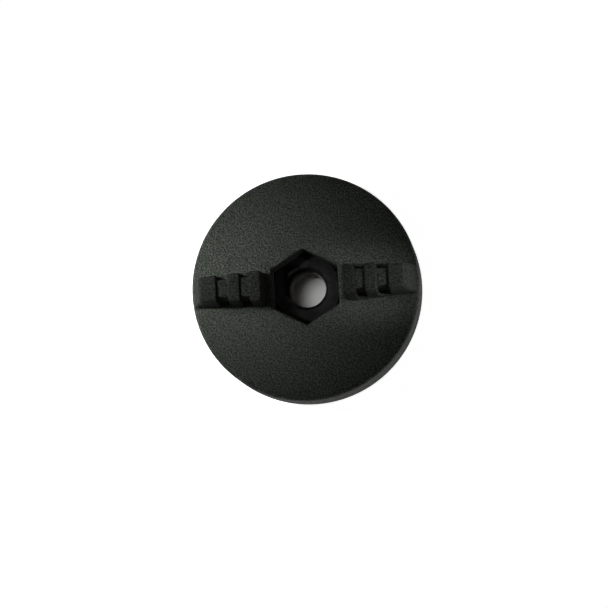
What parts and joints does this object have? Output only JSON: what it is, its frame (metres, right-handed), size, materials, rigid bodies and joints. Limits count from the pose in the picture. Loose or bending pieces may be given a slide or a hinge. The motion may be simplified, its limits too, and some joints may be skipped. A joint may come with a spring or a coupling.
{
  "type": "wing nut",
  "caption": "Round moulded hand nut with two grooved grip wings and a hexagonal pocket that holds a threaded steel nut.",
  "frame": {"origin": "on the thread axis, at the clamping face under the boss", "axes": "+Z along the thread axis from the clamping face to the tops of the wings, +X along the wings"},
  "size_m": [0.05, 0.05, 0.02],
  "materials": {
    "moulded_plastic": "fine sand-textured moulding, black with a faint green-grey sheen",
    "blackened_steel": "black oxide on machined steel"
  },
  "bodies": {
    "body": {"wing_body": "moulded_plastic"},
    "nut": {"hex_nut": "blackened_steel"}
  },
  "joints": [
    {"name": "nut_lift", "type": "slide", "parent": "body", "child": "nut", "axis": [0, 0, 1], "range_m": [0, 0.02]}
  ]
}
